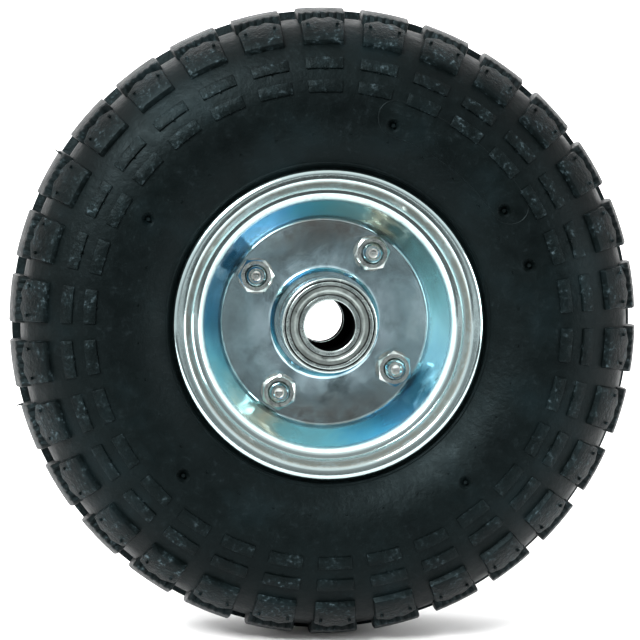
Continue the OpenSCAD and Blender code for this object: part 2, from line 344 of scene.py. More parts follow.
def make_tyre_rubber():
    material, tree = blank("cured_tyre_rubber")
    where = add(tree, "TexCoord", out="Object")
    cloud = add(tree, "TexNoise", where, Scale=PER_MM / CLOUD_MM, Detail=5.0, Roughness=0.6)
    patch = add(tree, "TexNoise", where, Scale=PER_MM / SCUFF_MM, Detail=5.0, Roughness=0.6)
    grit = add(tree, "TexNoise", where, Scale=PER_MM / GRIT_MM, Detail=3.0, Roughness=0.65)
    dust = add(tree, "Attribute", attribute_name="dust", out="Fac")
    body = add(tree, "ValToRGB", cloud,
               stops=[(0.30, "#010202"), (0.52, "#030606"), (0.72, "#081012")])
    worn = add(tree, "ValToRGB", grit,
               stops=[(0.36, "#0a1012"), (0.56, "#182325"), (0.72, "#54646a")])
    in_patches = add(tree, "MapRange", patch, 0.44, 0.66, 0.0, 0.8)
    in_grains = add(tree, "MapRange", grit, 0.34, 0.60, 0.15, 1.0)
    amount = add(tree, "Math", dust, in_patches, operation="MULTIPLY")
    amount = add(tree, "Math", amount, in_grains, operation="MULTIPLY")
    colour = add(tree, "MixRGB", amount, body, worn)
    sheen = add(tree, "MapRange", patch, 0.3, 0.7, 0.38, 0.56)
    deep = add(tree, "Math", dust, 0.28, operation="ADD")
    height = add(tree, "Math", grit, deep, patch, operation="MULTIPLY_ADD")
    rough_skin = add(tree, "Bump", Strength=0.7, Distance=0.5 * MM, Height=height)
    shader = add(tree, "BsdfPrincipled", Base_Color=colour, Roughness=sheen, IOR=1.4,
                 Normal=rough_skin, Specular_IOR_Level=0.18, Specular_Tint=linear("#b4d0d6"))
    add(tree, "OutputMaterial", shader, out=None)
    return material


tyre_rubber = make_tyre_rubber()
print("made", tyre_rubber.name)

# %% [markdown]
# The rim halves are pressed from steel sheet, zinc plated and dipped in a clear blue passivation.
# The zinc is a soft grey with cloudy crystals. The passivation is a film thin enough to turn teal
# or blue where it dried thicker, as it did round the steep wall, and the wall's ramp also holds
# painted reflections of the nuts and painted highlights. Flat pressings stay satin, and bent bands
# are glossier, with a painted highlight on the bend at the top of the wall. Painted shade darkens
# the seam at the hub and the trough. Thin Film on the shader could give such colours, but a ramp
# round the axle puts each one where it dried.

# %% Blue passivated zinc sheet
# the film drained as the part hung, so its colour changes round the wall; the ramp also holds
# painted reflections of the nuts (dark near 40-50, 140-152 and 312-324 degrees) and painted
# highlights (near 61 and 233 degrees): (degrees, colour)
WALL_FILM_AND_REFLECTIONS = [
    (0, "#8dc4ce"), (16, "#78b2b8"), (40, "#4c6e6c"), (50, "#4f6e69"), (61, "#c2c4ac"),
    (72, "#6b9b9d"), (92, "#419ba9"), (106, "#1397bb"), (122, "#0390cd"), (140, "#076086"),
    (152, "#05597a"), (172, "#117fa9"), (196, "#4faabb"), (216, "#90bdbd"), (233, "#c0c4af"),
    (248, "#649da2"), (272, "#64b3c4"), (294, "#309bc4"), (312, "#11678d"), (324, "#26728d"),
    (338, "#83bdd0"), (360, "#8dc4ce")]
# the radii in millimetres between which the film on the wall comes in, and goes out again
WALL_IN = (43.2, 44.8)
WALL_OUT = (50.8, 49.2)
# how much of the wall's colour comes from the ramp of film and painted reflections, and how much of
# its gloss is not metal
WALL_RAMP_SHARE = 0.92
FILM_MATT = 0.36
# painted marks on the front and back alike: (colour, ring radius, half width, fade), in millimetres.
# They are painted shade at the seam of the collar and the hub, painted shade in the trough, and a
# painted highlight on the bend at the top of the wall.
RIM_SHADE_AND_HIGHLIGHT_RINGS = [
    ("#2b2b2a", 19.0, 0.15, 0.5), ("#5f605a", 55.8, 0.7, 1.6), ("#c9dddb", 50.9, 0.4, 1.2)]


def make_rim_zinc():
    material, tree = blank("blue_passivated_zinc_sheet")
    where = add(tree, "TexCoord", out="Object")
    radius, angle = from_axle(tree, where)
    cloud = add(tree, "TexNoise", where, Scale=PER_MM / 26, Detail=6.0, Roughness=0.62,
                Distortion=0.4)
    patch = add(tree, "TexNoise", where, Scale=PER_MM / 7, Detail=6.0, Roughness=0.7)
    crystal = add(tree, "TexNoise", where, Scale=PER_MM / 0.7, Detail=3.0, Roughness=0.7)
    colour = add(tree, "ValToRGB", cloud, stops=[
        (0.30, "#62767c"), (0.44, "#7f969d"), (0.56, "#9ab9c3"), (0.70, "#c3e0e8")])
    pale = add(tree, "MapRange", patch, 0.38, 0.70, 0.0, 0.55)
    colour = add(tree, "MixRGB", pale, colour, linear("#aac6cc"))
    spark = add(tree, "MapRange", crystal, 0.5, 0.75, 0.0, 0.22)
    colour = add(tree, "MixRGB", spark, colour, linear("#d6e2e4"))

    # brown-grey where the disc nears the wall at the top and the bottom
    high = add(tree, "Math", angle, operation="SINE")
    high = add(tree, "Math", high, operation="ABSOLUTE")
    top_and_bottom = add(tree, "MapRange", high, 0.66, 0.98)
    near_wall = add(tree, "MapRange", radius, 27.0, 38.0)
    in_stains = add(tree, "MapRange", patch, 0.3, 0.62, 0.3, 0.85)
    brown = add(tree, "Math", top_and_bottom, near_wall, operation="MULTIPLY")
    brown = add(tree, "Math", brown, in_stains, operation="MULTIPLY")
    colour = add(tree, "MixRGB", brown, colour, linear("#716f6a"))

    # a pale halo of film round the hub, where the liquid clung
    near_hub = near_ring(tree, radius, 24.0, 2.5, 9.0)
    in_clouds = add(tree, "MapRange", cloud, 0.42, 0.58)
    halo = add(tree, "Math", near_hub, in_clouds, operation="MULTIPLY")
    colour = add(tree, "MixRGB", halo, colour, linear("#bcd6e0"))

    # the coloured film of the steep wall, with painted reflections of the nuts and painted
    # highlights in its ramp, and wavy edges
    wave = add(tree, "MapRange", cloud, 0.3, 0.7, -0.04, 0.04)
    share = add(tree, "Math", angle, math.tau, operation="DIVIDE")
    share = add(tree, "Math", share, wave, operation="ADD")
    share = add(tree, "Math", share, operation="FRACT")
    film_and_reflections = add(tree, "ValToRGB", share, stops=[(turn / 360, shade) for turn, shade in WALL_FILM_AND_REFLECTIONS])
    past_foot = add(tree, "MapRange", radius, *WALL_IN)
    before_top = add(tree, "MapRange", radius, *WALL_OUT)
    wall = add(tree, "Math", past_foot, before_top, operation="MULTIPLY")
    wall_ramp_amount = add(tree, "Math", wall, WALL_RAMP_SHARE, operation="MULTIPLY")
    colour = add(tree, "MixRGB", wall_ramp_amount, colour, film_and_reflections)
    # a painted highlight on the rolled bend at the top of the wall
    bend_highlight = add(tree, "MapRange", radius, 50.5, 52.5, 0.0, 0.75)
    colour = add(tree, "MixRGB", bend_highlight, colour, linear("#c4d8d8"))

    # the painted shade and highlight rings are no metal, and the thick film on the wall scatters
    # light, so both mirror less
    matt = add(tree, "Math", wall, FILM_MATT, operation="MULTIPLY")
    uneven = add(tree, "MapRange", patch, 0.28, 0.5, 0.5, 0.95)
    # painted rings: painted shade at the hub seam and in the trough, and a painted highlight on the
    # bend
    for shade, ring, core, fade in RIM_SHADE_AND_HIGHLIGHT_RINGS:
        painted_ring_mask = near_ring(tree, radius, ring, core, fade)
        painted_ring_mask = add(tree, "Math", painted_ring_mask, uneven, operation="MULTIPLY")
        colour = add(tree, "MixRGB", painted_ring_mask, colour, linear(shade))
        matt = add(tree, "Math", painted_ring_mask, 0.75, matt, operation="MULTIPLY_ADD")
    mirror = add(tree, "MapRange", matt, 0.0, 1.0, 1.0, 0.0)

    # rolling burnishes the bent bands, so they are glossier than the disc
    satin = add(tree, "MapRange", patch, 0.3, 0.7, 0.14, 0.25)
    bent = add(tree, "MapRange", radius, 41.0, 45.0, 1.0, 0.62)
    satin = add(tree, "Math", satin, bent, operation="MULTIPLY")
    height = add(tree, "Math", crystal, 0.3, patch, operation="MULTIPLY_ADD")
    skin = add(tree, "Bump", Strength=0.4, Distance=0.04 * MM, Height=height)
    shader = add(tree, "BsdfPrincipled", Base_Color=colour, Roughness=satin, Metallic=mirror,
                 Normal=skin)
    add(tree, "OutputMaterial", shader, out=None)
    return material


rim_zinc = make_rim_zinc()
print("made", rim_zinc.name)

# %% [markdown]
# The other metals share one recipe: patches of two shades, a little fine grain, and a roughness
# that follows the patches. Fasteners are barrel plated, so they are brighter than the rim. The races
# and the hub tube are turned and ground, and painted shade darkens the seams between the rings. The
# shield has a film of grease, the inside of the hub is painted black as shade, and a bolt's end is
# bare where it was cut. They differ only in numbers, so one function makes them all.

# %% Metals
# the seams between the rings get painted shade: a dark ring at each of these radii
SEAM_HALF, SEAM_FADE = 0.12, 0.42
HUB_SEAM = 17.5
RING_SEAMS = (12.15, 15.75, HUB_SEAM)
SHIELD_SEAMS = (12.2, 15.7)


def make_metal(name, dark, light, rough, patch_mm, metallic=1.0, seams=(), specular=0.5):
    """Rough is the (least, most) roughness, and seams are the radii of the rings painted dark as
    shade.
    """
    material, tree = blank(name)
    where = add(tree, "TexCoord", out="Object")
    patch = add(tree, "TexNoise", where, Scale=PER_MM / patch_mm, Detail=5.0, Roughness=0.65)
    fine = add(tree, "TexNoise", where, Scale=PER_MM / 0.5, Detail=3.0)
    colour = add(tree, "ValToRGB", patch, stops=[(0.3, dark), (0.7, light)])
    radius = from_axle(tree, where)[0] if seams else None
    # painted shade in the gap at each seam
    for ring in seams:
        seam_shade = near_ring(tree, radius, ring, SEAM_HALF, SEAM_FADE)
        colour = add(tree, "MixRGB", seam_shade, colour, linear("#191817"))
    gloss = add(tree, "MapRange", patch, 0.3, 0.7, *rough)
    skin = add(tree, "Bump", Strength=0.4, Distance=0.02 * MM, Height=fine)
    shader = add(tree, "BsdfPrincipled", Base_Color=colour, Roughness=gloss, Metallic=metallic,
                 Normal=skin, Specular_IOR_Level=specular)
    add(tree, "OutputMaterial", shader, out=None)
    return material


bolt_zinc = make_metal("zinc_plated_fastener", "#9da9a8", "#d8e1de", (0.13, 0.24), 2.5)
bolt_end = make_metal("sheared_bolt_end", "#6a6460", "#c3c8c4", (0.22, 0.40), 1.6)
hub_steel = make_metal("turned_hub_steel", "#a3b2b2", "#cfdcda", (0.18, 0.30), 5.0,
                       seams=(HUB_SEAM,))
race_steel = make_metal("ground_bearing_steel", "#8c9a9a", "#b4c2c0", (0.20, 0.32), 5.0,
                        seams=RING_SEAMS)
shield_steel = make_metal("greasy_pressed_shield", "#78817f", "#a0aba8", (0.26, 0.42), 4.0,
                          seams=SHIELD_SEAMS)
dark_steel = make_metal("oiled_dark_steel", "#121414", "#242727", (0.35, 0.6), 6.0, 0.6)
# painted shade: the inside of the hub is made black with no shine, as no light reaches it
painted_shade_bore = make_metal("black_bore_painted_shade", "#030404", "#080909", (0.7, 0.9), 3.0, 0.0,
                        specular=0.0)
ball_steel = make_metal("polished_ball_steel", "#c2c5c6", "#dddfe0", (0.08, 0.16), 2.0)
cage_steel = make_metal("pressed_cage_steel", "#8a8579", "#a9a496", (0.35, 0.5), 3.0)
brass = make_metal("turned_brass", "#8d6f35", "#b8934c", (0.26, 0.42), 4.0)
print("materials so far:", len(bpy.data.materials))

# %% [markdown]
# The inner tube and the foot of the valve are moulded butyl rubber, soft and matt. The dust cap is
# moulded ABS with a slight gloss. Neither is a metal, so both keep a plain dielectric shine. A
# plain colour would be enough for the hidden tube, but the cap and the valve foot can be seen.

# %% Butyl rubber and ABS
def make_moulded(name, dark, light, rough):
    material, tree = blank(name)
    where = add(tree, "TexCoord", out="Object")
    patch = add(tree, "TexNoise", where, Scale=PER_MM / 6, Detail=4.0)
    fine = add(tree, "TexNoise", where, Scale=PER_MM / 0.6, Detail=3.0)
    colour = add(tree, "ValToRGB", patch, stops=[(0.3, dark), (0.7, light)])
    gloss = add(tree, "MapRange", patch, 0.3, 0.7, rough - 0.08, rough + 0.08)
    skin = add(tree, "Bump", Strength=0.4, Distance=0.03 * MM, Height=fine)
    shader = add(tree, "BsdfPrincipled", Base_Color=colour, Roughness=gloss, Normal=skin)
    add(tree, "OutputMaterial", shader, out=None)
    return material


soft_rubber = make_moulded("moulded_butyl_rubber", "#17181a", "#26282a", 0.62)
cap_plastic = make_moulded("moulded_black_abs", "#141516", "#202122", 0.42)
print("made", soft_rubber.name, "and", cap_plastic.name)

# %% [markdown]
# The casing of the tyre is one ring: an arc for each sidewall, a shallow crown, a thin raised
# moulding line next to the rim, and a plain inside. A torus would be quicker, but it has no crown
# and no bead, so half of the section is drawn, spun and mirrored.

# %% Casing section
SIDE_IN = 2.7
SMALL_H = 1.0
SIDE_RAD = TYRE_HALF_W - SMALL_H - SIDE_IN
GROOVE_DEPTH = 5.0
BASE_R = TYRE_R - GROOVE_DEPTH
SIDE_C = BASE_R + 2.9 - SIDE_RAD
CROWN_RAD = 101.0
SIDE_T = 5.0
CROWN_T = 7.0
RIDGE_H = 0.45
CASING_STEPS = 240


def side_point(angle, height=0.0):
    """A point of the sidewall arc, at an angle in degrees from the radial direction."""
    a = math.radians(angle)
    return (SIDE_C + (SIDE_RAD + height) * math.cos(a), SIDE_IN + (SIDE_RAD + height) * math.sin(a))


def crown_r(s, drop=0.0):
    """The radius of the crown arc at a distance from the middle, less the drop."""
    return BASE_R - CROWN_RAD + math.sqrt((CROWN_RAD - drop) ** 2 - s * s)


def casing_half():
    crown = [(crown_r(s), s) for s in (0.0, 4.0, 8.0, 12.0, 16.0, 19.0)]
    side = [side_point(angle) for angle in range(38, 130, 3)]
    ridge = [side_point(129.0), side_point(129.6, RIDGE_H), side_point(130.6, RIDGE_H),
             side_point(131.2)]
    foot = [side_point(angle) for angle in (133, 135, 137)]
    # down the flange of the rim, in along its seat, and back up inside
    bead = [(LIP_R - 3.6, LIP_S - 8.6), (53.6, LIP_S - 9.6), (52.4, LIP_S - 11), (50.0, 17.8),
            (57.6, 20.6)]
    inner = [side_point(angle, -SIDE_T) for angle in range(126, 36, -6)]
    inside = [(crown_r(s, CROWN_T), s) for s in (16.0, 8.0, 0.0)]
    return crown + side + ridge + foot + bead + inner + inside


casing = bmesh.new()
wire(casing, casing_half(), closed=False)
spin_up(casing, CASING_STEPS)
bmesh.ops.mirror(casing, geom=everything(casing),
                 axis="Y", merge_dist=1e-5)
bmesh.ops.remove_doubles(casing, verts=casing.verts[:], dist=WELD)
outwards(casing)
print("casing faces:", len(casing.faces))
print("open edges:", sum(edge.is_boundary for edge in casing.edges))

# %% [markdown]
# Six locating marks of the mould lie in the sidewall at one radius, in degrees round the wheel.
# Each is a round dimple with a pin in its middle. A bump would look flat from the side, so the
# dimples are cut with a boolean. Pieces for the sidewall are drawn along Z and stood on it.

# %% Places on the sidewall
MARKS = (16.8, 33.4, 72.5, 149.5, 225.4, 310.8)
MARK_R = 82.0


def side_angle(r):
    """The section angle at which the sidewall has this radius."""
    return math.degrees(math.acos((r - SIDE_C) / SIDE_RAD))


def on_side(turn, r, height=0.0, flip=1):
    """A point on the sidewall, at an angle round the wheel in degrees."""
    r, s = side_point(side_angle(r), height)
    a = math.radians(turn)
    return Vector((r * math.cos(a), -flip * s, r * math.sin(a))) * MM


def standing(turn, r, height, flip=1):
    """The matrix that stands a piece drawn along Z on the sidewall."""
    out = (on_side(turn, r, 1.0, flip) - on_side(turn, r, 0.0, flip)).normalized()
    upright = out.to_track_quat("Z", "Y").to_matrix().to_4x4()
    return Matrix.Translation(on_side(turn, r, height, flip)) @ upright


print("the marks lie", round(side_point(side_angle(MARK_R))[1], 1), "mm from the middle")


# %% Pegs and cuts
def peg(radius, top, depth, steps=12):
    """A cone with its ends cut off, centred on the origin."""
    bm = bmesh.new()
    bmesh.ops.create_cone(bm, cap_ends=True, segments=steps, radius1=radius * MM,
                          radius2=top * MM, depth=depth * MM)
    return bm


def evaluated(obj):
    """A bmesh of the object with its modifiers applied. The object is removed."""
    bpy.context.view_layer.update()
    depsgraph = bpy.context.evaluated_depsgraph_get()
    mesh = bpy.data.meshes.new_from_object(obj.evaluated_get(depsgraph))
    bpy.data.objects.remove(obj)
    bm = bmesh.new()
    bm.from_mesh(mesh)
    return bm


def cut_away(bm, cutter):
    """bm less cutter, by the exact boolean."""
    base, tool = placed("base", bm), placed("tool", cutter)
    modifier = base.modifiers.new("cut", "BOOLEAN")
    modifier.operation = "DIFFERENCE"
    modifier.solver = "EXACT"
    modifier.object = tool
    out = evaluated(base)
    bpy.data.objects.remove(tool)
    return out


# half of each cone is under the surface, so a dimple is 2.4 deep and 5.7 across
dimples = bmesh.new()
cone = peg(0.5, 5.2, 4.8, 20)
for flip in (1, -1):
    for turn in MARKS:
        join(dimples, cone, standing(turn, MARK_R, 0.0, flip))
casing = cut_away(casing, dimples)
print("casing with dimples:", len(casing.faces), "faces")

# %% Pins and inner vent stubs
STUBS = 32
STUB_RING = 75.0
pin = peg(0.9, 0.7, 2.4)
low_stub = peg(0.55, 0.4, 0.8, 8)
for flip in (1, -1):
    for turn in MARKS:
        join(casing, pin, standing(turn, MARK_R, -1.4, flip))
    for k in range(STUBS):
        join(casing, low_stub, standing(5 + k * 360 / STUBS, STUB_RING, 0.1, flip))
print("casing with pins and stubs:", len(casing.faces), "faces")

# %% [markdown]
# A thin raised line frames the plate of the mould between two of the marks. Inset and extrude
# would need the casing cut along it first. A curve with a round bevel follows it more simply, and
# is sunk a little so that it has no gap under it.

# %% Plate line
PLATE_FROM, PLATE_TO = 33.4, 72.5
PLATE_R = 85.0
PLATE_HALF = 7.0
LINE_R = 0.3
SUNK = -0.05


def plate_line(flip):
    """The closed outline: out along one arc, round the end, and back along the other."""
    span = PLATE_TO - PLATE_FROM
    path = []
    for start, way in ((PLATE_FROM, 1), (PLATE_TO, -1)):
        for k in range(41):
            turn = start + way * k * span / 40
            path.append(on_side(turn, PLATE_R + way * PLATE_HALF, SUNK, flip))
        for k in range(1, 12):
            a = math.pi * k / 12
            bulge = math.degrees(math.sin(a) * PLATE_HALF / PLATE_R)
            path.append(on_side(start + way * (span + bulge),
                                PLATE_R + way * PLATE_HALF * math.cos(a), SUNK, flip))
    curve = bpy.data.curves.new("plate_line", "CURVE")
    curve.dimensions = "3D"
    curve.bevel_depth = LINE_R * MM
    curve.bevel_resolution = 1
    spline = curve.splines.new("POLY")
    spline.points.add(len(path) - 1)
    for point, co in zip(spline.points, path):
        point.co = (*co, 1.0)
    spline.use_cyclic_u = True
    obj = bpy.data.objects.new("plate_line", curve)
    scene.collection.objects.link(obj)
    out = evaluated(obj)
    outwards(out)
    return out


join(casing, plate_line(1))
join(casing, plate_line(-1))
print("casing with its marks:", len(casing.faces), "faces")
print("open edges:", sum(edge.is_boundary for edge in casing.edges))

# %% [markdown]
# A tread block is cut as a flat outline first, in millimetres along the tyre and across it. It is
# sliced so that it can bend, raised to its height, given a slightly smaller top as a mould needs,
# and its upper edges are bevelled. Simple Deform could bend it, but here every vertex is wrapped
# by a formula, which lands exactly on the casing's own arcs.

# %% Block maker
TREAD_RAD = 58.0
LUGS = 30
PITCH = 360 / LUGS
PHASE = 1.2


def flat_block(outline, height, sink=1.2, slices=(), rows=(), draft=0.35, edge=0.45, soft=0.5):
    """Draft is how much the top shrinks, edge its bevel, and soft the bevel of the corners."""
    bm = bmesh.new()
    bm.faces.new([bm.verts.new((u, v, -sink)) for u, v in outline])
    bmesh.ops.bevel(bm, geom=bm.verts[:], offset=soft, offset_type="OFFSET", segments=2, profile=0.5,
                    affect="VERTICES", clamp_overlap=True, material=-1)
    cuts = [((u, 0, 0), (1, 0, 0)) for u in slices] + [((0, v, 0), (0, 1, 0)) for v in rows]
    for at, normal in cuts:
        bmesh.ops.bisect_plane(bm, geom=everything(bm), dist=1e-5,
                               plane_co=at, plane_no=normal)
    made = bmesh.ops.extrude_face_region(bm, geom=bm.faces[:])
    top = [g for g in made["geom"] if isinstance(g, bmesh.types.BMVert)]
    bmesh.ops.translate(bm, verts=top, vec=(0, 0, height + sink))
    outwards(bm)
    us = [u for u, v in outline]
    vs = [v for u, v in outline]
    middle = Vector(((min(us) + max(us)) / 2, (min(vs) + max(vs)) / 2, 0))
    shrink = Vector((1 - 2 * draft / (max(us) - min(us)), 1 - 2 * draft / (max(vs) - min(vs)), 1))
    bmesh.ops.scale(bm, vec=shrink, verts=top, space=Matrix.Translation(-middle))
    rim = [e for e in bm.edges if all(v in top for v in e.verts)
           and min(f.normal.z for f in e.link_faces) < 0.5]
    bmesh.ops.bevel(bm, geom=rim, offset=edge, offset_type="OFFSET", segments=2, profile=0.5,
                    affect="EDGES", clamp_overlap=True, material=-1)
    return bm


def wrap_side(co, at_r):
    """u runs round the tyre, v is degrees of the sidewall arc, z is the height above it."""
    r, s = side_point(co.y, co.z)
    turn = co.x / at_r
    return Vector((r * math.sin(turn), -s, r * math.cos(turn))) * MM


def wrap_crown(co, at_r):
    """v is the distance from the middle; the top follows a rounder arc than the casing."""
    tread = TYRE_R - TREAD_RAD + math.sqrt(TREAD_RAD ** 2 - co.y ** 2)
    r = tread + co.z
    turn = co.x / at_r
    return Vector((r * math.sin(turn), -co.y, r * math.cos(turn))) * MM


def wrapped(bm, how, at_r):
    for v in bm.verts:
        v.co = how(v.co, at_r)
    return bm


print("a column every", PITCH, "degrees")

# %% [markdown]
# One column of the tread has four blocks: a deep one beside the middle line, whose outer edge is a
# saw tooth, a shoulder block that fits into the teeth, and two thin blocks on the sidewall. The
# shoulder block has two small vent stubs and each thin block has one, left by the holes that let
# air out of the mould. Arrays could repeat them, but plain copies each get their own dust.

# %% Middle and shoulder blocks
def degrees_to_mm(deg, at_r):
    return math.radians(deg) * at_r


def tooth_edge(half, v_low, v_high, teeth):
    """The points of a saw-tooth edge from one side to the other."""
    width = 2 * half / teeth
    points = []
    for k in range(teeth):
        points.append((half - k * width, v_low))
        points.append((half - (k + 0.5) * width, v_high))
    points.append((-half, v_low))
    return points


crown_half = degrees_to_mm(PITCH * 0.375, TYRE_R)
crown_outline = [(-crown_half, 1.5), (crown_half, 1.5)] + tooth_edge(crown_half, 23.9, 25.7, 6)
crown_block = wrapped(flat_block(
    crown_outline, 0.0, sink=9.0, slices=[crown_half * k for k in (-0.5, 0.0, 0.5)],
    rows=(7.0, 13.0, 19.0), draft=0.4, edge=0.55), wrap_crown, TYRE_R)

# across the sidewall, places are degrees of its arc
SHOULDER_AT = side_point(46)[0]
arc_mm = math.radians(1) * SIDE_RAD
shoulder_half = degrees_to_mm(PITCH * 0.355, SHOULDER_AT)
third = shoulder_half / 3
shoulder_outline = [
    (-shoulder_half, 57.0), (-shoulder_half, 39.6), (-third, 34.8), (0.0, 37.0), (third, 34.8),
    (shoulder_half, 39.6), (shoulder_half, 57.0)]


def side_block(outline, height, at_r, slices, rows, **more):
    """The outline is in degrees across; it is made in millimetres and turned back for the wrap."""
    flat = [(u, v * arc_mm) for u, v in outline]
    bm = flat_block(flat, height, slices=slices, rows=[v * arc_mm for v in rows], **more)
    bmesh.ops.scale(bm, vec=(1, 1 / arc_mm, 1), verts=bm.verts[:])
    return wrapped(bm, wrap_side, at_r)


shoulder_block = side_block(shoulder_outline, 2.5, SHOULDER_AT, (-third * 1.5, 0.0, third * 1.5),
                            (44.0, 50.0), draft=0.55, edge=0.5)
print("middle block:", len(crown_block.faces), "faces")
print("shoulder block:", len(shoulder_block.faces), "faces")


# %% Thin blocks and vent stubs
def thin_block(a0, a1):
    """A block between two angles of the sidewall arc."""
    at_r = side_point((a0 + a1) / 2)[0]
    half = degrees_to_mm(PITCH * 0.345, at_r)
    outline = [(-half, a1), (-half, a0), (half, a0), (half, a1)]
    return side_block(outline, SMALL_H * 0.8, at_r, (-half / 2, 0.0, half / 2), ((a0 + a1) / 2,),
                      draft=0.12, edge=0.22, soft=0.4)


def stub(u, angle, at_r, height, radius=0.75):
    """A vent stub: a short round peg with a soft top."""
    bm = bmesh.new()
    bmesh.ops.create_cone(bm, cap_ends=True, segments=8, radius1=radius, radius2=radius * 0.75,
                          depth=1.4)
    bmesh.ops.translate(bm, verts=bm.verts[:], vec=(u, 0, height))
    for v in bm.verts:
        v.co.y = angle + v.co.y / arc_mm
    return wrapped(bm, wrap_side, at_r)


# each block or stub, with its share of the dust
COLUMN = [
    (crown_block, 0.9), (shoulder_block, 1.0),
    (thin_block(65.8, 73.2), 0.8), (thin_block(79.7, 87.1), 0.7),
    (stub(-shoulder_half * 0.66, 43.5, SHOULDER_AT, 2.7), 0.9),
    (stub(shoulder_half * 0.66, 43.5, SHOULDER_AT, 2.7), 0.9),
    (stub(0.0, 72.6, side_point(69.5)[0], 0.6), 0.6),
    (stub(0.0, 86.4, side_point(83.4)[0], 0.28), 0.6)]
print("faces in one column:", sum(len(bm.faces) for bm, _ in COLUMN))

# %% [markdown]
# The column is copied round both sides, with the back one half a pitch out of step. Each block
# gets its own dust value. Random Per Island would be shorter, but it changes with the mesh, so the
# values are drawn from a seeded generator and every run is the same.

# %% Assemble the tyre
CASING_DUST = 0.07
draw = random.Random(7)
tyre = bmesh.new()
dust = tyre.verts.layers.float.new("dust")
for v in join(tyre, casing):
    v[dust] = CASING_DUST
for side in (1, -1):
    for k in range(LUGS):
        step = (k + (0.5 if side < 0 else 0.0)) * PITCH + PHASE
        place = Matrix.Rotation(math.radians(-step), 4, "Y")
        if side < 0:
            place = place @ Matrix.Scale(-1, 4, AXLE)
        for block, share in COLUMN:
            amount = share * draw.uniform(0.55, 1.0)
            for v in join(tyre, block, place):
                v[dust] = amount
print("blocks and stubs:", 2 * LUGS * len(COLUMN))

# %% [markdown]
# A new tyre still wears traces of its mould: here two long vent whiskers at the edge of the tread,
# where rubber ran into the vents. They are too few for hair, so each is a thin cone.

# %% Whiskers
for turn, length in ((147.3, 3.4), (194.6, 2.6)):
    whisker = peg(0.5, 0.2, length, 8)
    foot = Matrix.Translation((0, -19.0 * MM, (TYRE_R - 2.0) * MM))
    place = Matrix.Rotation(math.radians(90 - turn), 4, "Y") @ foot
    for v in join(tyre, whisker, place):
        v[dust] = 0.5
piece("lugged_tyre", tyre, "tyre", tyre_rubber, crease=38)

# %% [markdown]
# A rim half is one pressing. Its middle line is drawn from the hub collar, across the flat bolting
# disc, out along the tapered wall, over the shoulder and round the rolled lip. Both faces of the
# sheet could be drawn, but then every bend has two radii to keep in step. So one line is rounded
# and spun, and Solidify gives the sheet its even thickness.

# %% Rim halves
COLLAR = 6.5
SEAT_R = LIP_R - 11.4
RIM_LINE = [
    (HUB_R + SHEET / 2, COLLAR), (HUB_R + SHEET / 2, 1.0), (44.5, 1.0), (SEAT_R + 0.4, LIP_S - 8.2),
    (LIP_R - 7.5, LIP_S - 7.8), (LIP_R - 5.0, LIP_S - 1.5), (LIP_R - 1.0, LIP_S - 1.0),
    (LIP_R - 1.0, LIP_S - 4.0)]
# the bend radius of each corner between the two ends of the line
RIM_BENDS = [4.0, 3.0, 2.6, 1.2, 1.8, 1.45]
RIM_STEPS = 192


def thick_rim():
    """The middle line gets half a sheet on each side: solidify both ways, then close the rims."""
    bm = bmesh.new()
    verts = wire(bm, RIM_LINE, closed=False)
    for vert, radius in zip(verts[1:-1], RIM_BENDS):
        round_corner(bm, vert, radius, steps=8)
    spin_up(bm, RIM_STEPS)
    outwards(bm)
    obj = placed("line", bm)
    modifier = obj.modifiers.new("sheet", "SOLIDIFY")
    modifier.thickness = SHEET * MM
    modifier.offset = 0.0
    modifier.use_even_offset = True
    out = evaluated(obj)
    outwards(out)
    return out


piece("rim_half_front", thick_rim(), "rim_front", rim_zinc, crease=40)
piece("rim_half_back", flipped(thick_rim()), "rim_back", rim_zinc, crease=40)

# %% [markdown]
# The hub tube is a length of steel tube with a bearing pressed into each end. Its ends are turned,
# with a rounded outer edge and a small chamfer where the bearing enters. A cylinder with booleans
# would do, but one spun section has cleaner edges.

# %% Hub tube
tube_bore = BEARING_R - 1.0
seat_s = HUB_S - BEARING_W
hub_section = [
    (HUB_R, HUB_S), (BEARING_R + 0.35, HUB_S), (BEARING_R, HUB_S - 0.5), (BEARING_R, seat_s),
    (tube_bore, seat_s), (tube_bore, -seat_s), (BEARING_R, -seat_s), (BEARING_R, 0.5 - HUB_S),
    (BEARING_R + 0.35, -HUB_S), (HUB_R, -HUB_S)]
piece("hub_tube_turned", turned(hub_section, [(0, 0.7), (9, 0.7)]), "hub_tube", hub_steel)

# %% [markdown]
# Each bearing is two ground rings with a ball track between them and a pressed shield on each face.
# The rings have rounded edges, which is what makes their thin bright outlines. Circles on a flat
# disc would pass from the front, but real tracks also hold the balls, so each ring has its own.

# %% Bearing rings
RACE_IN = BORE_R + 2.1
RACE_OUT = BEARING_R - 1.7
BALL_S = HUB_S - BEARING_W / 2
BALL_R = 2.38
TRACK_R = BALL_R + 0.05
PITCH_R = (RACE_IN + RACE_OUT) / 2 - 0.2


def track(from_r, reach, towards):
    """The points of the ball track, cut into a ring whose face is at from_r."""
    depth = math.acos((from_r - PITCH_R) * towards / TRACK_R)
    angles = [depth * k / 4 for k in range(4, -5, -1)]
    return [(PITCH_R + towards * TRACK_R * math.cos(a), BALL_S + reach * TRACK_R * math.sin(a))
            for a in angles]


